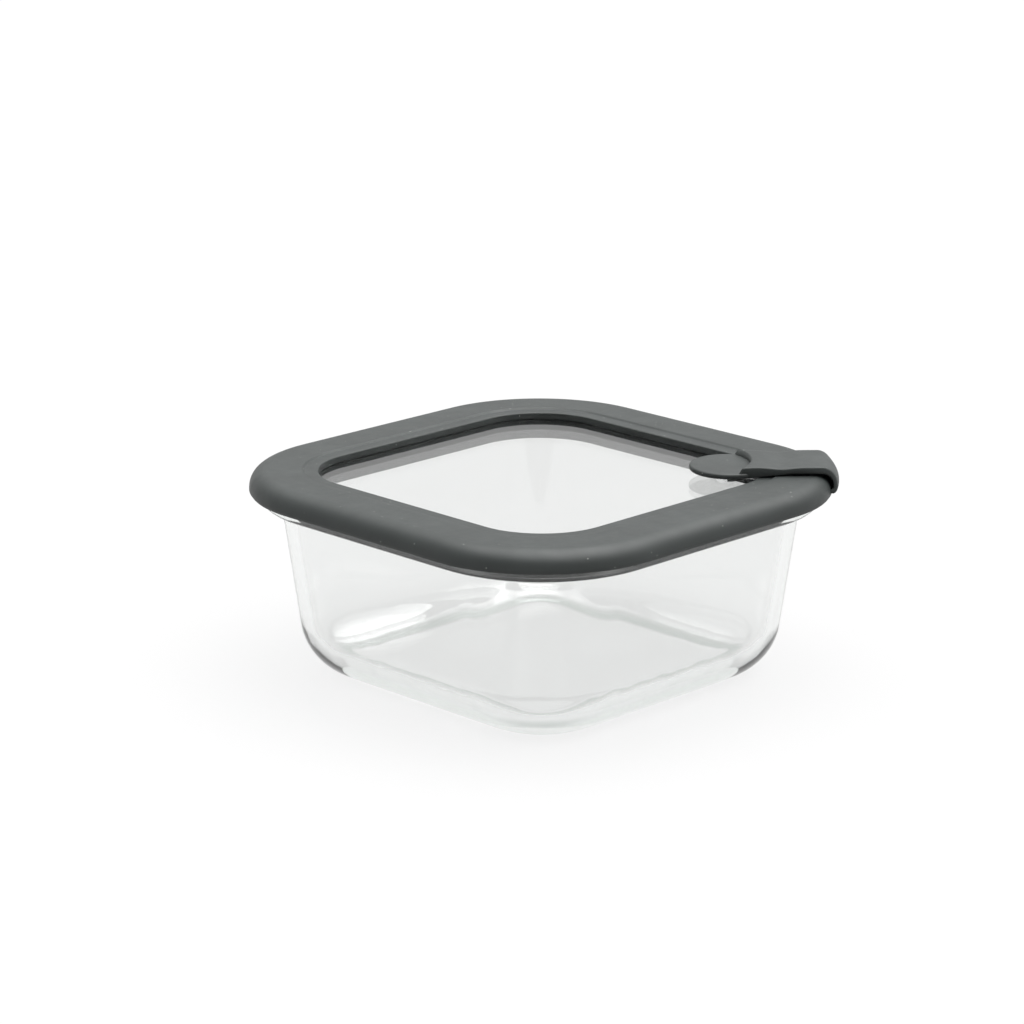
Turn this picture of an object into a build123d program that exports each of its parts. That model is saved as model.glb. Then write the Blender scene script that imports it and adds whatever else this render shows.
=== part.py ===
from build123d import *
from math import cos, sin, radians, sqrt
import os

# Square glass food container with a silicone-framed glass lid and a vent strap.
# Millimetres, +Z up. The origin is the middle of the resting face. The four sides of the dish
# face along X and Y, and the vent strap crosses the +X +Y corner of the lid.

# Dish: pressed glass with leaning walls, a thick floor and an outward rim flange.
DISH_HEIGHT = 69.0
BASE_HALF = 65.3            # half-width of the wall line where it would meet the table
BASE_CORNER = 30.3          # corner radius of that outline
WALL_LEAN = 0.0895          # outward millimetres for each millimetre of height
CORNER_TIGHTENING = 0.037   # how much the corner radius shrinks for each millimetre of height
BASE_FILLET = 19.0          # rounding between the outer wall and the resting face
WALL_THICKNESS = 4.6
FLOOR_THICKNESS = 6.0
FLOOR_FILLET = 14.0         # rounding between the floor and the inner wall
FLANGE_HALF = 79.8
FLANGE_BOTTOM = 61.0
FLANGE_EDGE = 1.6           # rounding of the flange's outer edges
FLANGE_ROOT = 2.5           # hollow rounding between the wall and the flange
MOUTH_EDGE = 1.5            # rounding of the inner edge of the mouth

# Every outline of the lid and of the flange shares these four corner centres.
CORNER_CENTRE = 35.7

# Lid pane: flat glass with ground edges and a vent hole under the strap's pad.
PANE_HALF = 64.2
PANE_BOTTOM = 65.5
PANE_TOP = 69.5
PANE_EDGE = 0.6
VENT_HOLE_RADIUS = 4.0

# Lid frame: silicone ring. Its cross-section is drawn outwards from the middle of the lid.
CLEARANCE = 0.3             # gap between pieces that move apart
SKIRT_BOTTOM = 64.8
SKIRT_HALF = 84.0           # outer half-width at the skirt's lower edge
FRAME_HALF = 84.3           # widest half-width
FRAME_WIDEST_Z = 66.0
FRAME_TOP = 72.4
SHOULDER = 6.6              # rounding between the outside and the top
RIDGE_HALF = 68.5           # inner limit of the flat top
STEP_HALF = 65.3            # foot of the slope inside the flat top
LEDGE_Z = 71.8
WINDOW_HALF = 60.7          # half-width of the window that the frame leaves
WINDOW_EDGE = 0.45          # rounding of the window's upper edge
GRIP_HALF = 61.3            # half-width of the opening below the pane
GROOVE_HALF = 64.4          # bottom of the groove that holds the pane
PLUG_LIP_BOTTOM = 59.0      # lower end of the lip that enters the mouth
PLUG_LIP_HALF = 65.6
PLUG_LIP_TOP_HALF = 66.4
RIB_GROOVE_COUNT = 3
RIB_GROOVE_WIDTH = 1.8
RIB_GROOVE_DEPTH = 0.8
RIB_PITCH = 3.4

# Vent strap: s runs from the middle of the lid towards the +X +Y corner.
HINGE_S = 99.2
HINGE_Z = 66.8
KNUCKLE_RADIUS = 1.2
OUTSIDE_MEETS_KNUCKLE = 10  # degrees round the knuckle, from outwards towards up
INSIDE_MEETS_KNUCKLE = 94
STRAP_HALF_WIDTH = 11.3
STRAP_TOP = 75.7
STRAP_UNDERSIDE = 73.2
BEND_S = 94.7               # centre of the bend over the frame's corner
BEND_Z = 69.1
BEND_RADIUS = STRAP_TOP - BEND_Z
BEND_PAST_LEVEL = 12        # degrees that the bend turns in below its widest point
UNDERSIDE_LEVEL_S = 83.6    # where the underside stops rising from the pad
PAD_S = 63.7
PAD_RADIUS = 13.3
PAD_BOTTOM = 71.8
PAD_TOP = 73.7
RECESS_S = 71.4             # deepest point of the curved step behind the pad
RECESS_RADIUS = 22.8
PLUG_RADIUS = VENT_HOLE_RADIUS - CLEARANCE
PLUG_SHOULDER_RADIUS = 6.0
PLUG_SHOULDER_Z = PANE_TOP + CLEARANCE
PLUG_BOTTOM = 66.1


def square_outline(half_width, corner_radius):
    """Draw a square with rounded corners in the sketch that is open."""
    RectangleRounded(2 * half_width, 2 * half_width, corner_radius)


def lid_outline(half_width):
    """Draw one of the concentric outlines of the lid."""
    square_outline(half_width, half_width - CORNER_CENTRE)


def wall_half(height):
    """Half-width of the dish's outer wall at a height."""
    return BASE_HALF + WALL_LEAN * height


def wall_corner(height):
    """Corner radius of the dish's outer wall at a height."""
    return BASE_CORNER - CORNER_TIGHTENING * height


def on_circle(centre_x, centre_y, radius, angle):
    """The point of a circle at an angle in degrees."""
    return (centre_x + radius * cos(radians(angle)), centre_y + radius * sin(radians(angle)))


# Upright plane through the +X +Y diagonal, with its normal across the strap.
diagonal_plane = Plane(origin=(0, 0, 0), x_dir=(1, 1, 0), z_dir=(1, -1, 0))
# Level plane with its first axis along the same diagonal.
plan_plane = Plane(origin=(0, 0, 0), x_dir=(1, 1, 0), z_dir=(0, 0, 1))


# The hollow of the dish, from the floor to above the rim.
hollow_top = DISH_HEIGHT + 1
with BuildPart() as hollow:
    for height in (FLOOR_THICKNESS, hollow_top):
        with BuildSketch(Plane.XY.offset(height)):
            square_outline(wall_half(height) - WALL_THICKNESS, wall_corner(height) - WALL_THICKNESS)
    loft(ruled=True)
    fillet(hollow.faces().sort_by(Axis.Z)[0].edges(), FLOOR_FILLET)

with BuildPart() as glass_dish:
    for height in (0, DISH_HEIGHT):
        with BuildSketch(Plane.XY.offset(height)):
            square_outline(wall_half(height), wall_corner(height))
    loft(ruled=True)
    fillet(glass_dish.faces().sort_by(Axis.Z)[0].edges(), BASE_FILLET)
    with BuildSketch(Plane.XY.offset(FLANGE_BOTTOM)):
        lid_outline(FLANGE_HALF)
    extrude(amount=DISH_HEIGHT - FLANGE_BOTTOM)
    flange_underside = glass_dish.faces().filter_by(Axis.Z).group_by(Axis.Z)[1].face()
    fillet(flange_underside.inner_wires()[0].edges(), FLANGE_ROOT)
    flange_underside = glass_dish.faces().filter_by(Axis.Z).group_by(Axis.Z)[1].face()
    rim = glass_dish.faces().sort_by(Axis.Z)[-1]
    fillet(flange_underside.outer_wire().edges() + rim.outer_wire().edges(), FLANGE_EDGE)
    add(hollow.part, mode=Mode.SUBTRACT)
    rim = glass_dish.faces().filter_by(Axis.Z).sort_by(Axis.Z)[-1]
    fillet(rim.inner_wires()[0].edges(), MOUTH_EDGE)
glass_dish.part.label = "glass_dish"

with BuildPart() as lid_pane:
    with BuildSketch(Plane.XY.offset(PANE_BOTTOM)):
        lid_outline(PANE_HALF)
    extrude(amount=PANE_TOP - PANE_BOTTOM)
    chamfer(lid_pane.faces().filter_by(Axis.Z).edges(), PANE_EDGE)
    with BuildSketch(plan_plane.offset(PANE_BOTTOM)):
        with Locations((PAD_S, 0)):
            Circle(VENT_HOLE_RADIUS)
    extrude(amount=PANE_TOP - PANE_BOTTOM, mode=Mode.SUBTRACT)
lid_pane.part.label = "lid_pane"

# The frame is one cross-section swept round the rounded square.
skirt_inside = FLANGE_HALF + CLEARANCE
seat_z = DISH_HEIGHT + CLEARANCE
with BuildLine() as quarter_turn:
    PolarLine((FRAME_HALF, 0), CORNER_CENTRE, 90)
    JernArc((FRAME_HALF, CORNER_CENTRE), (0, 1), FRAME_HALF - CORNER_CENTRE, 90)
    PolarLine((CORNER_CENTRE, FRAME_HALF), CORNER_CENTRE, 180)
with BuildLine() as frame_path:
    for turn in (0, 90, 180, 270):
        add(quarter_turn.line, rotation=turn)
with BuildPart() as lid_frame:
    with BuildSketch(Plane.XZ):
        with BuildLine():
            Line((SKIRT_HALF, SKIRT_BOTTOM), (FRAME_HALF, FRAME_WIDEST_Z))
            RadiusArc((FRAME_HALF, FRAME_WIDEST_Z), (FRAME_HALF - SHOULDER, FRAME_TOP), -SHOULDER)
            Polyline(
                (FRAME_HALF - SHOULDER, FRAME_TOP), (RIDGE_HALF, FRAME_TOP), (STEP_HALF, LEDGE_Z),
                (WINDOW_HALF + WINDOW_EDGE, LEDGE_Z),
            )
            RadiusArc(
                (WINDOW_HALF + WINDOW_EDGE, LEDGE_Z), (WINDOW_HALF, LEDGE_Z - WINDOW_EDGE), -WINDOW_EDGE
            )
            Polyline(
                (WINDOW_HALF, LEDGE_Z - WINDOW_EDGE), (WINDOW_HALF, PANE_TOP), (GROOVE_HALF, PANE_TOP),
                (GROOVE_HALF, PANE_BOTTOM), (GRIP_HALF, PANE_BOTTOM), (GRIP_HALF, PLUG_LIP_BOTTOM),
                (PLUG_LIP_HALF, PLUG_LIP_BOTTOM), (PLUG_LIP_TOP_HALF, seat_z), (skirt_inside, seat_z),
                (skirt_inside, SKIRT_BOTTOM), (SKIRT_HALF, SKIRT_BOTTOM),
            )
        make_face()
        rib_middle = (PLUG_LIP_TOP_HALF + skirt_inside) / 2
        with Locations((rib_middle, seat_z)):
            with GridLocations(RIB_PITCH, 1, RIB_GROOVE_COUNT, 1):
                Rectangle(RIB_GROOVE_WIDTH, 2 * RIB_GROOVE_DEPTH, mode=Mode.SUBTRACT)
    sweep(path=frame_path.wire())
    with BuildSketch(diagonal_plane.offset(-STRAP_HALF_WIDTH - CLEARANCE)):
        with Locations((HINGE_S, HINGE_Z)):
            Circle(KNUCKLE_RADIUS + CLEARANCE)
    extrude(amount=2 * (STRAP_HALF_WIDTH + CLEARANCE), mode=Mode.SUBTRACT)
lid_frame.part.label = "lid_frame"

# The strap: a band bent over the frame's corner, a thinner round pad, and a plug below the pad.
pad_end = PAD_S + sqrt(PAD_RADIUS**2 - STRAP_HALF_WIDTH**2)
bend_inner_radius = STRAP_UNDERSIDE - BEND_Z
hinge = (HINGE_S, HINGE_Z)
with BuildPart() as vent_strap:
    with BuildSketch(diagonal_plane.offset(-STRAP_HALF_WIDTH)):
        with BuildLine():
            top = Line((PAD_S, STRAP_TOP), (BEND_S, STRAP_TOP))
            outer_bend = CenterArc((BEND_S, BEND_Z), BEND_RADIUS, 90, -(90 + BEND_PAST_LEVEL))
            to_knuckle = Line(outer_bend @ 1, on_circle(*hinge, KNUCKLE_RADIUS, OUTSIDE_MEETS_KNUCKLE))
            across_knuckle = Line(to_knuckle @ 1, on_circle(*hinge, KNUCKLE_RADIUS, INSIDE_MEETS_KNUCKLE))
            inner_bend = CenterArc((BEND_S, BEND_Z), bend_inner_radius, 0, 90)
            Line(across_knuckle @ 1, inner_bend @ 0)
            Polyline(
                inner_bend @ 1, (UNDERSIDE_LEVEL_S, STRAP_UNDERSIDE), (pad_end, PAD_BOTTOM),
                (PAD_S, PAD_BOTTOM), top @ 0,
            )
        make_face()
        with Locations((HINGE_S, HINGE_Z)):
            Circle(KNUCKLE_RADIUS)
    extrude(amount=2 * STRAP_HALF_WIDTH)
    with BuildSketch(plan_plane.offset(PAD_TOP)):
        with Locations((RECESS_S - RECESS_RADIUS, 0)):
            Circle(RECESS_RADIUS)
    extrude(amount=STRAP_TOP - PAD_TOP, mode=Mode.SUBTRACT)
    with BuildSketch(plan_plane.offset(PAD_BOTTOM)):
        with Locations((PAD_S, 0)):
            Circle(PAD_RADIUS)
        with Locations((pad_end, 0)):
            Rectangle(PAD_RADIUS, 2 * PAD_RADIUS, align=(Align.MIN, Align.CENTER), mode=Mode.SUBTRACT)
    extrude(amount=PAD_TOP - PAD_BOTTOM)
    with BuildSketch(plan_plane.offset(PLUG_SHOULDER_Z)):
        with Locations((PAD_S, 0)):
            Circle(PLUG_SHOULDER_RADIUS)
    extrude(amount=PAD_BOTTOM - PLUG_SHOULDER_Z)
    with BuildSketch(plan_plane.offset(PLUG_BOTTOM)):
        with Locations((PAD_S, 0)):
            Circle(PLUG_RADIUS)
    extrude(amount=PLUG_SHOULDER_Z - PLUG_BOTTOM)
vent_strap.part.label = "vent_strap"

os.makedirs("parts", exist_ok=True)
for piece in (glass_dish, lid_pane, lid_frame, vent_strap):
    export_step(piece.part, f"parts/{piece.part.label}.step")
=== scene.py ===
from math import atan, cos, degrees, exp, pi, radians, sin, sqrt

import bpy
from mathutils import Matrix, Vector, noise


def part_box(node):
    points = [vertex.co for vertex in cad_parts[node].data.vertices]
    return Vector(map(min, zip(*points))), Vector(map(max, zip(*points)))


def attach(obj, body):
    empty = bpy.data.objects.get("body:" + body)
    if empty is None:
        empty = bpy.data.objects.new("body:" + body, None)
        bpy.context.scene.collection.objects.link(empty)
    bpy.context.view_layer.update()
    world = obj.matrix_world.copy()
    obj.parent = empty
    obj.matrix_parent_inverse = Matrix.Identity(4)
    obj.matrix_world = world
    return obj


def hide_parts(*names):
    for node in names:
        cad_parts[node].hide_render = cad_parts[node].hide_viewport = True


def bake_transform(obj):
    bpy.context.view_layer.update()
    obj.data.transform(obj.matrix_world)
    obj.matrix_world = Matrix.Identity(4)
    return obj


# Looks of the square glass food container: clear pressed glass, matte grey silicone, studio light.
# Everything below is in millimetres until it becomes a mesh, a light or a camera.

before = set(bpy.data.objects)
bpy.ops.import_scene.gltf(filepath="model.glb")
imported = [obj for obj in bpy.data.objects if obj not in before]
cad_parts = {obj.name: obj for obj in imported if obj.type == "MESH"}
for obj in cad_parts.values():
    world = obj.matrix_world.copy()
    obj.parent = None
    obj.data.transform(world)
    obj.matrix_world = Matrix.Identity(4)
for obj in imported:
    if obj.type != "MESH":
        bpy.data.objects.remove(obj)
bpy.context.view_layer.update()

MM = 0.001

# Camera: azimuth 0 looks along +Y, and the aim is where the middle of the picture points.
CAMERA_AZIMUTH = 44.67
CAMERA_ELEVATION = 18.96
CAMERA_DISTANCE = 1.2025
AIM_AZIMUTH = 45.16
AIM_ELEVATION = 16.37
LENS = 122.2

# Dish: the same driving sizes as the CAD part, where its box doesn't give them.
BASE_HALF = 65.3
BASE_CORNER = 30.3
WALL_LEAN = 0.0895
CORNER_TIGHTENING = 0.037
BASE_FILLET = 19.0
WALL_THICKNESS = 4.6
FLOOR_THICKNESS = 6.0
FLOOR_FILLET = 14.0
FLANGE_BOTTOM = 61.0
FLANGE_EDGE = 1.6
FLANGE_ROOT = 2.5
MOUTH_EDGE = 1.5
CORNER_CENTRE = 35.7
PAINTED_SHADE_HEIGHT = 3.0     # painted shade darkens the glass up to this height on the foot's lowest edge, where it meets the floor
# painted shade: the colour that darkens the foot's lowest edge where the glass meets the floor
PAINTED_FOOT_SHADE = (0.55, 0.6, 0.57, 1)
RIPPLE = 0.09               # height of the pressing marks round the inside of the foot
RIPPLE_LENGTH = 6.0

# Lid frame.
CLEARANCE = 0.3
SKIRT_BOTTOM = 64.8
SKIRT_HALF = 84.0
SKIRT_EDGE = 0.8
SHOULDER = 6.6
SHOULDER_FULLNESS = 2.3     # 2 is a circular shoulder, more is squarer
RIDGE_HALF = 68.5
STEP_HALF = 65.3
STEP_RUN = 1.1              # width of the slope between the frame's top and the ledge round its window
LEDGE_Z = 71.8
WINDOW_HALF = 60.7
WINDOW_EDGE = 0.45
GRIP_HALF = 61.3
GRIP_EDGE = 0.5
GROOVE_HALF = 64.4
PLUG_LIP_HALF = 65.6
PLUG_LIP_TOP_HALF = 66.4
LIP_EDGE = 0.7
RIB_PITCH = 3.4
RIB_GROOVE_DEPTH = 0.7

# Vent strap: s runs from the middle of the lid towards the +X +Y corner.
STRAP_HALF_WIDTH = 11.3
STRAP_TOP = 75.7
STRAP_UNDERSIDE = 73.2
STRAP_EDGE = 0.55
BEND_S = 94.7
BEND_Z = 69.1
BEND_PAST_LEVEL = 12
UNDERSIDE_LEVEL_S = 83.6
PAD_S = 63.7
PAD_RADIUS = 13.3
PAD_BOTTOM = 71.8
PAD_TOP = 73.7
PAD_EDGE = 0.7
RECESS_S = 71.4
RECESS_RADIUS = 22.8
PLUG_RADIUS = 3.7
PLUG_SHOULDER_RADIUS = 6.0
PLUG_BOTTOM = 66.1
CURVED_LENGTH = 21.5        # stretch of the band over which its stations take the recess's curve
END_SLOPE = 0.55            # how far the band's end leans over the pad at its sides
BEND_THINNING = 1.1         # how much thinner the band is where it turns down
BAND_DIP = 0.6              # a shallow dip in the band's top
BAND_DIP_S = 80.5
BAND_DIP_LENGTH = 5.0
NECK_FLARE = 1.1            # how much wider each side of the band is where it meets the pad
NECK_FLARE_START = 74.5
ROOT_LIFT = 1.3             # how much higher the root ends at the band's sides than in the middle
ROOT_TOP_Z = 68.5
recess_centre = RECESS_S - RECESS_RADIUS
pad_end = PAD_S + sqrt(PAD_RADIUS**2 - STRAP_HALF_WIDTH**2)
band_end = RECESS_S - 4.2

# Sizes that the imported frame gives.
dish_low, dish_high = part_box("glass_dish")
dish_height = dish_high.z / MM
flange_half = dish_high.x / MM
frame_low, frame_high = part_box("lid_frame")
frame_half = frame_high.x / MM
frame_top = frame_high.z / MM
lip_bottom = frame_low.z / MM
pane_low, pane_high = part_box("lid_pane")
pane_bottom = pane_low.z / MM
pane_top = pane_high.z / MM
seat_z = dish_height + CLEARANCE
skirt_inside = flange_half + CLEARANCE

CORNER_STEPS = 44
SIDE_STEPS = 30


# ---------------------------------------------------------------- meshes

def turned_corner(ease):
    """A quarter turn inside a unit square, from (1, 0) to (0, 1), and how far it cuts the corner.

    With ease 0 it is a circular arc. With ease 1 its curvature rises from nothing and falls to
    nothing again, so that it meets the straight sides without a break in curvature.
    """
    x = y = 0.0
    points = [(x, y)]
    fine = 12
    for step in range(CORNER_STEPS * fine):
        t = (step + 0.5) / (CORNER_STEPS * fine)
        heading = pi / 2 * ((1 - ease) * t + ease * (3 - 2 * t) * t * t)
        x -= sin(heading)
        y += cos(heading)
        if (step + 1) % fine == 0:
            points.append((x, y))
    points = [(1 + px / y, py / y) for px, py in points]
    middle_x, middle_y = points[CORNER_STEPS // 2]
    return points, sqrt(2) * (1 - (middle_x + middle_y) / 2)


def square_ring(half, corner, z, ease=0.0):
    """One closed ring of points round a square with rounded corners, in metres."""
    points, cut = turned_corner(ease)
    reach = corner * (sqrt(2) - 1) / cut
    straight = half - reach
    ring = []
    for quarter in range(4):
        turn = Matrix.Rotation(quarter * pi / 2, 3, "Z")
        for x, y in points:
            ring.append(turn @ Vector((straight + reach * x, straight + reach * y, z)))
        for step in range(1, SIDE_STEPS):
            ring.append(turn @ Vector((straight - 2 * straight * step / SIDE_STEPS, half, z)))
    return [p * MM for p in ring]


def arc(x, z, radius, start, end, steps):
    """Points of an arc in a cross-section, from one angle in degrees to another."""
    for step in range(steps + 1):
        angle = radians(start + (end - start) * step / steps)
        yield x + radius * cos(angle), z + radius * sin(angle)


def skin(name, rings, closed=False, fold=None):
    """A smooth mesh through rings of equal length, joined end to end or capped at both ends.

    With fold, points k and fold - k of a ring face each other and the caps are strips between them,
    so that they follow a bent end.
    """
    count = len(rings[0])
    points = [p for one in rings for p in one]
    faces = []
    last = len(rings) if closed else len(rings) - 1
    for r in range(last):
        low = r * count
        high = (r + 1) % len(rings) * count
        for k in range(count):
            after = (k + 1) % count
            faces.append((low + k, low + after, high + after, high + k))
    if not closed:
        caps = [tuple(range(count))]
        if fold is not None:
            caps = []
            for k in range((fold - count) // 2 + 1, fold // 2):
                caps.append(tuple(j % count for j in (k, k + 1, fold - 1 - k, fold - k)))
        faces += [cap[::-1] for cap in caps]
        faces += [tuple(k + last * count for k in cap) for cap in caps]
    mesh = bpy.data.meshes.new(name)
    mesh.from_pydata(points, [], faces)
    mesh.polygons.foreach_set("use_smooth", [True] * len(faces))
    mesh.validate()
    piece = bpy.data.objects.new(name, mesh)
    bpy.context.scene.collection.objects.link(piece)
    return piece


# ---------------------------------------------------------------- dish

def wall_half(z):
    return BASE_HALF + WALL_LEAN * z


def wall_corner(z):
    return BASE_CORNER - CORNER_TIGHTENING * z


def wall_section(radius, foot, inset, top, arc_steps, wall_steps):
    """(half, corner, z) from a flat foot up a rounded edge and a leaning wall."""
    lean = atan(WALL_LEAN)
    centre_z = foot + radius
    centre_x = wall_half(centre_z) - inset - radius / cos(lean)
    section = []
    for x, z in arc(centre_x, centre_z, radius, -90, -degrees(lean), arc_steps):
        section.append((x, wall_corner(z) - (wall_half(z) - x), z))
    start = centre_z - radius * sin(lean)
    for step in range(1, wall_steps + 1):
        z = start + (top - start) * step / wall_steps
        section.append((wall_half(z) - inset, wall_corner(z) - inset, z))
    return section


def rippled(ring, strength):
    """The ring moved in and out a little, as pressed glass is where it left the plunger."""
    moved = []
    for point in ring:
        outwards = Vector((point.x, point.y, 0)).normalized()
        wave = noise.noise(point / (RIPPLE_LENGTH * MM))
        moved.append(point + outwards * wave * strength * RIPPLE * MM)
    return moved


def wall_rings(section):
    return [square_ring(half, corner, z, 1.0) for half, corner, z in section]


def inner_wall_rings(section):
    """Rings of the inside, rippled round its lower edge and smooth on the floor and above."""
    rings = []
    for ring, (half, corner, z) in zip(wall_rings(section), section):
        share = min((z - FLOOR_THICKNESS) / FLOOR_FILLET, 1.6)
        rings.append(rippled(ring, max(sin(pi * share / 1.6), 0)))
    return rings


def flat_rings(half, corner, z):
    """Rings inside a flat end, so that its shading stays flat."""
    return [square_ring(half * share, corner * share, z, 1.0) for share in (0.25, 0.5, 0.75, 0.92, 0.985)]


def flange_ring(x, z):
    """A ring between the wall's outline and the flange's, which have different corners."""
    share = min(max((x - wall_half(z)) / (flange_half - wall_half(z)), 0), 1)
    corner = wall_corner(z) + share * (flange_half - CORNER_CENTRE - wall_corner(z))
    return square_ring(x, corner, z, 1 - share)


def dish_rings():
    root_z = FLANGE_BOTTOM - FLANGE_ROOT
    outer = wall_section(BASE_FILLET, 0, 0, root_z, 34, 16)
    mouth_z = dish_height - MOUTH_EDGE
    inner = wall_section(FLOOR_FILLET, FLOOR_THICKNESS, WALL_THICKNESS, mouth_z, 30, 16)
    rings = flat_rings(*outer[0]) + wall_rings(outer)
    flange = list(arc(wall_half(root_z) + FLANGE_ROOT, root_z, FLANGE_ROOT, 180, 90, 8))[1:]
    edge_x = flange_half - FLANGE_EDGE
    flange += arc(edge_x, FLANGE_BOTTOM + FLANGE_EDGE, FLANGE_EDGE, -90, 0, 8)
    flange += arc(edge_x, dish_height - FLANGE_EDGE, FLANGE_EDGE, 0, 90, 8)
    rings += [flange_ring(x, z) for x, z in flange]
    mouth_x = wall_half(dish_height) - WALL_THICKNESS + MOUTH_EDGE
    mouth = list(arc(mouth_x, mouth_z, MOUTH_EDGE, 180, 90, 7))[1:]
    inside = flat_rings(*inner[0]) + inner_wall_rings(inner)
    inside += [square_ring(x, wall_corner(z) - (wall_half(z) - x), z, 1.0) for x, z in mouth]
    return rings + inside[::-1]


# ---------------------------------------------------------------- lid

def shoulder(steps):
    """The rounding between the frame's side and its top, a little squarer than a circle."""
    for step in range(steps + 1):
        angle = step / steps * pi / 2
        out = cos(angle) ** (2 / SHOULDER_FULLNESS)
        up = sin(angle) ** (2 / SHOULDER_FULLNESS)
        yield frame_half - SHOULDER + SHOULDER * out, frame_top - SHOULDER + SHOULDER * up


def frame_rings():
    """Cross-section of the silicone frame, with every edge softly rounded."""
    section = [(SKIRT_HALF - 1.2, SKIRT_BOTTOM)]
    section += arc(SKIRT_HALF - SKIRT_EDGE, SKIRT_BOTTOM + SKIRT_EDGE, SKIRT_EDGE, -80, -5, 6)
    section += shoulder(30)
    section += [(frame_half - SHOULDER - 2, frame_top), (RIDGE_HALF, frame_top)]
    for step in range(11):
        rise = 1 - step / 10
        height = rise * rise * (3 - 2 * rise)
        section.append((STEP_HALF + STEP_RUN * rise, LEDGE_Z + (frame_top - LEDGE_Z) * height))
    section += [(STEP_HALF - 0.3, LEDGE_Z), (WINDOW_HALF + WINDOW_EDGE + 0.6, LEDGE_Z)]
    section += arc(WINDOW_HALF + WINDOW_EDGE, LEDGE_Z - WINDOW_EDGE, WINDOW_EDGE, 90, 180, 8)
    section += [(WINDOW_HALF, pane_top + 0.3), (WINDOW_HALF, pane_top), (WINDOW_HALF + 0.3, pane_top)]
    section += [(GROOVE_HALF - 0.2, pane_top), (GROOVE_HALF, pane_top), (GROOVE_HALF, pane_top - 0.2)]
    section += [(GROOVE_HALF, pane_bottom + 0.2), (GROOVE_HALF, pane_bottom)]
    section += [(GROOVE_HALF - 0.2, pane_bottom), (GRIP_HALF + 0.3, pane_bottom)]
    section += [(GRIP_HALF, pane_bottom), (GRIP_HALF, pane_bottom - 0.3)]
    section += arc(GRIP_HALF + GRIP_EDGE, lip_bottom + GRIP_EDGE, GRIP_EDGE, 180, 270, 5)
    section += arc(PLUG_LIP_HALF - LIP_EDGE, lip_bottom + LIP_EDGE, LIP_EDGE, -90, 0, 5)
    section += [(PLUG_LIP_TOP_HALF, seat_z - 0.3), (PLUG_LIP_TOP_HALF + 0.3, seat_z)]
    rib_middle = (PLUG_LIP_TOP_HALF + skirt_inside) / 2
    groove_z = seat_z + RIB_GROOVE_DEPTH
    for rib in (-1, 0, 1):
        x = rib_middle + rib * RIB_PITCH
        section += [(x - 1.0, seat_z), (x - 0.8, groove_z), (x + 0.8, groove_z), (x + 1.0, seat_z)]
    section += [(skirt_inside - 0.4, seat_z), (skirt_inside, seat_z - 0.4)]
    section += [(skirt_inside, SKIRT_BOTTOM + 0.5), (skirt_inside + 0.15, SKIRT_BOTTOM + 0.15)]
    section += [(skirt_inside + 0.5, SKIRT_BOTTOM)]
    return [square_ring(x, x - CORNER_CENTRE, z) for x, z in section]


# ---------------------------------------------------------------- strap

def on_strap(s, across, z):
    """A point of the strap: s along the +X +Y diagonal, then across it towards the -Y side."""
    return Vector(((s + across) / sqrt(2), (s - across) / sqrt(2), z)) * MM


def underside(s):
    """Height of the strap's underside between the pad and the bend."""
    share = min(max((s - pad_end) / (UNDERSIDE_LEVEL_S - pad_end), 0), 1)
    return PAD_BOTTOM + (STRAP_UNDERSIDE - PAD_BOTTOM) * share


def lathe(name, section, centre_s, steps=72):
    """A round piece about an upright axis on the diagonal, from (radius, height) pairs."""
    rings = []
    for radius, z in section:
        turns = [step / steps * 2 * pi for step in range(steps)]
        rings.append([on_strap(centre_s + radius * cos(a), radius * sin(a), z) for a in turns])
    return skin(name, rings)


def band_route():
    """Pairs of (outer, inner) points along the band, from its root on the skirt to the recess.

    The band thins from the bend down to its root, and dips a little before the pad.
    """
    outer = STRAP_TOP - BEND_Z
    pairs = [((99.5, 65.4), (98.3, 65.8)), ((100.3, 65.8), (98.4, 66.4)), ((100.85, 66.6), (98.7, 67.2))]
    steps = 22
    for step in range(steps + 1):
        angle = radians(-BEND_PAST_LEVEL + (90 + BEND_PAST_LEVEL) * step / steps)
        inner_angle = max(angle, 0.0)
        inner = STRAP_UNDERSIDE - BEND_Z + BEND_THINNING * cos(inner_angle) ** 2
        tuck = min(angle, 0) * 4
        pairs.append((
            (BEND_S + outer * cos(angle), BEND_Z + outer * sin(angle)),
            (BEND_S + inner * cos(inner_angle), BEND_Z + inner * sin(inner_angle) + tuck),
        ))
    level = 34
    for step in range(1, level + 1):
        s = BEND_S + (band_end - BEND_S) * step / level
        dip = BAND_DIP * exp(-(((s - BAND_DIP_S) / BAND_DIP_LENGTH) ** 2))
        pairs.append(((s, STRAP_TOP - dip), (s, underside(s) - dip / 4)))
    return pairs


PROFILE_FOLD = 31           # points k and 31 - k of the band's profile face each other


def edged_profile(half, thick, edge):
    """(across, depth) round a flat section with rounded edges."""
    flat = half - edge
    deep = thick - edge
    profile = [(flat * (1 - step / 6), 0.0) for step in range(13)]
    for angle in (30, 60, 90):
        profile.append((-flat - edge * sin(radians(angle)), edge - edge * cos(radians(angle))))
    for angle in (0, 30, 60, 90):
        profile.append((-flat - edge * cos(radians(angle)), deep + edge * sin(radians(angle))))
    profile += [(-flat * (1 - step / 6), thick) for step in range(1, 13)]
    for angle in (60, 30, 0):
        profile.append((flat + edge * cos(radians(angle)), deep + edge * sin(radians(angle))))
    for angle in (90, 60, 30):
        profile.append((flat + edge * sin(radians(angle)), edge - edge * cos(radians(angle))))
    return profile


def band_half_width(s):
    flare = min(max((NECK_FLARE_START - s) / (NECK_FLARE_START - band_end), 0), 1)
    return STRAP_HALF_WIDTH + NECK_FLARE * flare**2


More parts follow.
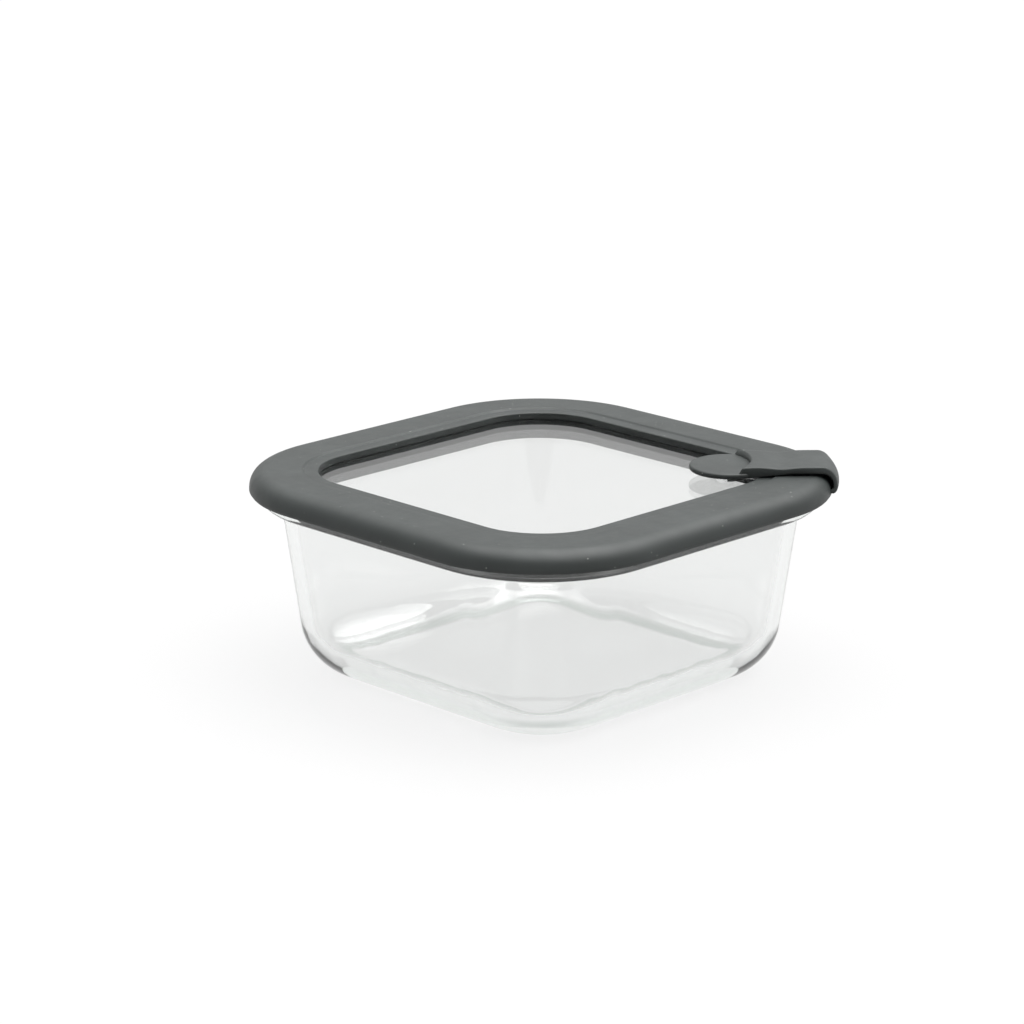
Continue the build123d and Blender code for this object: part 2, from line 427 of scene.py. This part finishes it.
def strap_band():
    """The band over the frame's corner, ending in the curved step behind the pad."""
    rings = []
    curve_start = band_end + CURVED_LENGTH
    corner_radius = frame_half - CORNER_CENTRE + STRAP_TOP - BEND_Z - SHOULDER
    for outer, inner in band_route():
        outer = Vector(outer)
        through = Vector(inner) - outer
        thick = through.length
        through = through / thick
        half = band_half_width(outer.x)
        wrap = min(max((outer.x - BEND_S) / (STRAP_TOP - BEND_Z), 0), 1)
        ring = []
        for across, depth in edged_profile(half, thick, min(STRAP_EDGE, thick / 2.2)):
            point = outer + through * depth
            s = point.x - wrap * (corner_radius - sqrt(corner_radius**2 - across**2))
            low = min(max((ROOT_TOP_Z - point.y) / (ROOT_TOP_Z - SKIRT_BOTTOM), 0), 1)
            z = point.y + ROOT_LIFT * low * abs(across / half) ** 3
            if s < curve_start:
                limit = recess_centre + sqrt(RECESS_RADIUS**2 - across**2)
                reach = (curve_start - s) / CURVED_LENGTH
                s = curve_start - reach * (curve_start - limit)
                s -= END_SLOPE * depth * reach**8 * (across / half) ** 2
            ring.append(on_strap(s, across, z))
        rings.append(ring)
    return skin("strap_band", rings, fold=PROFILE_FOLD)


def thumb_pad():
    section = [(0.4, PAD_BOTTOM), (PAD_RADIUS - 2, PAD_BOTTOM)]
    section += arc(PAD_RADIUS - PAD_EDGE, PAD_BOTTOM + PAD_EDGE, PAD_EDGE, -90, 0, 5)
    section += arc(PAD_RADIUS - PAD_EDGE, PAD_TOP - PAD_EDGE, PAD_EDGE, 0, 90, 5)
    section += [(PAD_RADIUS - 2, PAD_TOP), (0.4, PAD_TOP)]
    pad = lathe("thumb_pad", section, PAD_S)
    for vertex in pad.data.vertices:
        s = (vertex.co.x + vertex.co.y) / sqrt(2) / MM
        if s > pad_end:
            vertex.co.z = max(vertex.co.z, (underside(s) + 0.1) * MM)
    return pad


def vent_plug():
    section = [(0.4, PLUG_BOTTOM)]
    section += arc(PLUG_RADIUS - 0.6, PLUG_BOTTOM + 0.6, 0.6, -90, 0, 4)
    section += [(PLUG_RADIUS, pane_top - 0.2), (PLUG_SHOULDER_RADIUS - 0.3, pane_top + 0.3)]
    section += [(PLUG_SHOULDER_RADIUS, pane_top + 0.6), (PLUG_SHOULDER_RADIUS, PAD_BOTTOM + 0.3)]
    section += [(0.4, PAD_BOTTOM + 0.3)]
    return lathe("vent_plug", section, PAD_S)


# ---------------------------------------------------------------- materials

def node(tree, kind, x, y, **values):
    made = tree.nodes.new(kind)
    made.location = (x, y)
    for key, value in values.items():
        made.inputs[key.replace("_", " ")].default_value = value
    return made


def new_material(name):
    material = bpy.data.materials.new(name)
    material.use_nodes = True
    tree = material.node_tree
    place = node(tree, "ShaderNodeTexCoord", -1400, 0)
    return material, tree, tree.nodes["Principled BSDF"], place.outputs["Object"]


def grey(value):
    return (value, value, value, 1)


def ramp(tree, source, low, high, x, y, start=0.3, end=0.7):
    """Two colours or greys mixed by a texture."""
    made = node(tree, "ShaderNodeValToRGB", x, y)
    made.color_ramp.elements[0].position = start
    made.color_ramp.elements[0].color = low
    made.color_ramp.elements[1].position = end
    made.color_ramp.elements[1].color = high
    tree.links.new(source, made.inputs["Fac"])
    return made.outputs["Color"]


def noise_texture(tree, place, scale, detail, x, y):
    made = node(tree, "ShaderNodeTexNoise", x, y, Scale=scale, Detail=detail)
    tree.links.new(place, made.inputs["Vector"])
    return made.outputs["Fac"]


def bump(tree, shader, height, strength, distance):
    made = node(tree, "ShaderNodeBump", -300, -300, Strength=strength, Distance=distance)
    tree.links.new(height, made.inputs["Height"])
    tree.links.new(made.outputs["Normal"], shader.inputs["Normal"])


def painted_foot_shade(tree, place, tint):
    """The tint with painted shade: darker on the lowest part of the rounded foot, where it meets the
    floor, but not on the flat base within it.
    """
    height = node(tree, "ShaderNodeSeparateXYZ", -1200, 600)
    tree.links.new(place, height.inputs["Vector"])
    share = node(tree, "ShaderNodeMath", -1000, 600)
    share.operation = "MULTIPLY"
    tree.links.new(height.outputs["Z"], share.inputs[0])
    share.inputs[1].default_value = 1 / (PAINTED_SHADE_HEIGHT * MM)
    shade = node(tree, "ShaderNodeValToRGB", -800, 600)
    tree.links.new(share.outputs["Value"], shade.inputs["Fac"])
    stops = shade.color_ramp.elements
    stops[0].position = 0.02
    stops[0].color = (1, 1, 1, 1)
    stops[1].position = 1
    stops[1].color = (1, 1, 1, 1)
    for position in (0.06, 0.3):
        stops.new(position).color = PAINTED_FOOT_SHADE
    shaded = node(tree, "ShaderNodeMix", -400, 500)
    shaded.data_type = "RGBA"
    shaded.blend_type = "MULTIPLY"
    shaded.inputs["Factor"].default_value = 1.0
    tree.links.new(tint, shaded.inputs["A"])
    tree.links.new(shade.outputs["Color"], shaded.inputs["B"])
    return shaded.outputs["Result"]


def glass_material(name, waviness, clearness, foot=False):
    """Clear soda-lime glass: a little grey, greener through its depth, smudged and slightly wavy."""
    material, tree, shader, place = new_material(name)
    shader.inputs["Transmission Weight"].default_value = 1.0
    shader.inputs["IOR"].default_value = 1.5
    cloud = noise_texture(tree, place, 18, 2, -900, 300)
    tint = ramp(tree, cloud, grey(clearness), grey(clearness + 0.01), -600, 300)
    # painted shade on the foot's lowest edge, where the glass meets the floor
    if foot:
        tint = painted_foot_shade(tree, place, tint)
    tree.links.new(tint, shader.inputs["Base Color"])
    marks = noise_texture(tree, place, 55, 4, -900, 0)
    smudge = ramp(tree, marks, grey(0), grey(0.02), -600, 0, 0.45, 0.8)
    tree.links.new(smudge, shader.inputs["Roughness"])
    bump(tree, shader, noise_texture(tree, place, 40, 1, -600, -300), waviness, 0.001)
    depth = node(tree, "ShaderNodeVolumeAbsorption", 0, -500, Color=(0.72, 0.8, 0.75, 1), Density=14.0)
    tree.links.new(depth.outputs["Volume"], tree.nodes["Material Output"].inputs["Volume"])
    return material


def silicone_material(name):
    """Matte silicone: a faint cloud in its colour, a fine satin grain and a few specks of lint."""
    material, tree, shader, place = new_material(name)
    cloud = noise_texture(tree, place, 70, 5, -1100, 300)
    body = ramp(tree, cloud, (0.019, 0.0215, 0.0208, 1), (0.0238, 0.027, 0.0262, 1), -800, 300)
    cells = node(tree, "ShaderNodeTexVoronoi", -1100, 600, Scale=260.0)
    tree.links.new(place, cells.inputs["Vector"])
    speck = ramp(tree, cells.outputs["Distance"], grey(1), grey(0), -800, 600, 0.04, 0.06)
    lint = node(tree, "ShaderNodeMix", -450, 400)
    lint.data_type = "RGBA"
    tree.links.new(speck, lint.inputs["Factor"])
    tree.links.new(body, lint.inputs["A"])
    lint.inputs["B"].default_value = (0.17, 0.175, 0.165, 1)
    tree.links.new(lint.outputs["Result"], shader.inputs["Base Color"])
    satin = noise_texture(tree, place, 160, 4, -1100, 0)
    tree.links.new(ramp(tree, satin, grey(0.44), grey(0.54), -800, 0), shader.inputs["Roughness"])
    shader.inputs["IOR"].default_value = 1.32
    bump(tree, shader, noise_texture(tree, place, 2600, 3, -600, -300), 0.25, 0.0001)
    return material


def dress(piece, material, body, replaced=()):
    piece.data.materials.clear()
    piece.data.materials.append(material)
    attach(piece, body)
    if replaced:
        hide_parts(*replaced)


# ---------------------------------------------------------------- the container

dish_glass = glass_material("dish_glass", 0.02, 0.93, foot=True)
pane_glass = glass_material("pane_glass", 0.005, 0.98)
frame_silicone = silicone_material("frame_silicone")
strap_silicone = silicone_material("strap_silicone")

dish = skin("dish", dish_rings())
dress(dish, dish_glass, "dish", ["glass_dish"])

lid_ring = skin("lid_ring", frame_rings(), closed=True)
dress(lid_ring, frame_silicone, "lid", ["lid_frame"])

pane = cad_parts["lid_pane"]
pane.data.materials.clear()
pane.data.materials.append(pane_glass)

band = strap_band()
band.data.materials.append(strap_silicone)
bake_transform(band)
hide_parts("vent_strap")

dress(thumb_pad(), strap_silicone, "strap")
dress(vent_plug(), strap_silicone, "strap")


# ---------------------------------------------------------------- studio

def towards(azimuth, elevation):
    """The unit vector from the object to a viewer at these angles."""
    a = radians(azimuth)
    e = radians(elevation)
    return Vector((sin(a) * cos(e), -cos(a) * cos(e), sin(e)))


FLOOR_REACH = 30.0
FLOOR_HEIGHT = 0.02         # a hair above the base, so that the glass and the floor touch without a gap
FLOOR_GLOW = 0.84

signs = ((-1, -1), (1, -1), (1, 1), (-1, 1))
corners = [(x * FLOOR_REACH, y * FLOOR_REACH, FLOOR_HEIGHT * MM) for x, y in signs]
mesh = bpy.data.meshes.new("floor")
mesh.from_pydata(corners, [], [(0, 1, 2, 3)])
floor = bpy.data.objects.new("floor", mesh)
bpy.context.scene.collection.objects.link(floor)
floor_material, tree, shader, place = new_material("floor_white")
shader.inputs["Roughness"].default_value = 0.9
shader.inputs["Specular IOR Level"].default_value = 0.0
shader.inputs["Emission Color"].default_value = (1, 1, 1, 1)
shader.inputs["Emission Strength"].default_value = FLOOR_GLOW
paper = ramp(tree, noise_texture(tree, place, 3, 2, -900, 300), grey(0.045), grey(0.05), -600, 300)
tree.links.new(paper, shader.inputs["Base Color"])
floor.data.materials.append(floor_material)

# The surround is pale, with a large soft light overhead and a dark side in front of the near corner.
SURROUND = 0.8
DARK_SIDE = 0.05
DARK_AZIMUTH = 45
OVERHEAD = 9.4
OVERHEAD_AZIMUTH = 135      # the side that the overhead light leans to
OVERHEAD_ELEVATION = 79

world = bpy.data.worlds.new("studio")
world.use_nodes = True
sky = world.node_tree
direction = node(sky, "ShaderNodeTexCoord", -1200, 0).outputs["Generated"]
facing = node(sky, "ShaderNodeVectorMath", -900, 200)
facing.operation = "DOT_PRODUCT"
sky.links.new(direction, facing.inputs[0])
facing.inputs[1].default_value = towards(DARK_AZIMUTH, 0)
surround = ramp(sky, facing.outputs["Value"], grey(SURROUND), grey(DARK_SIDE), -600, 200, 0.3, 0.85)
above = node(sky, "ShaderNodeVectorMath", -900, -200)
above.operation = "DOT_PRODUCT"
sky.links.new(direction, above.inputs[0])
above.inputs[1].default_value = towards(OVERHEAD_AZIMUTH, OVERHEAD_ELEVATION)
softbox = ramp(sky, above.outputs["Value"], grey(0), grey(1), -600, -200, 0.6, 0.98)
overhead = node(sky, "ShaderNodeMix", -300, 0)
overhead.data_type = "RGBA"
sky.links.new(softbox, overhead.inputs["Factor"])
sky.links.new(surround, overhead.inputs["A"])
overhead.inputs["B"].default_value = grey(OVERHEAD)
sky.links.new(overhead.outputs["Result"], sky.nodes["Background"].inputs["Color"])
bpy.context.scene.world = world

camera_data = bpy.data.cameras.new("camera")
camera_data.lens = LENS
camera_data.sensor_width = 36
camera = bpy.data.objects.new("camera", camera_data)
bpy.context.scene.collection.objects.link(camera)
camera.location = towards(CAMERA_AZIMUTH, CAMERA_ELEVATION) * CAMERA_DISTANCE
camera.rotation_mode = "QUATERNION"
camera.rotation_quaternion = (-towards(AIM_AZIMUTH, AIM_ELEVATION)).to_track_quat("-Z", "Y")
bpy.context.scene.camera = camera
bpy.context.scene.view_settings.view_transform = "Standard"
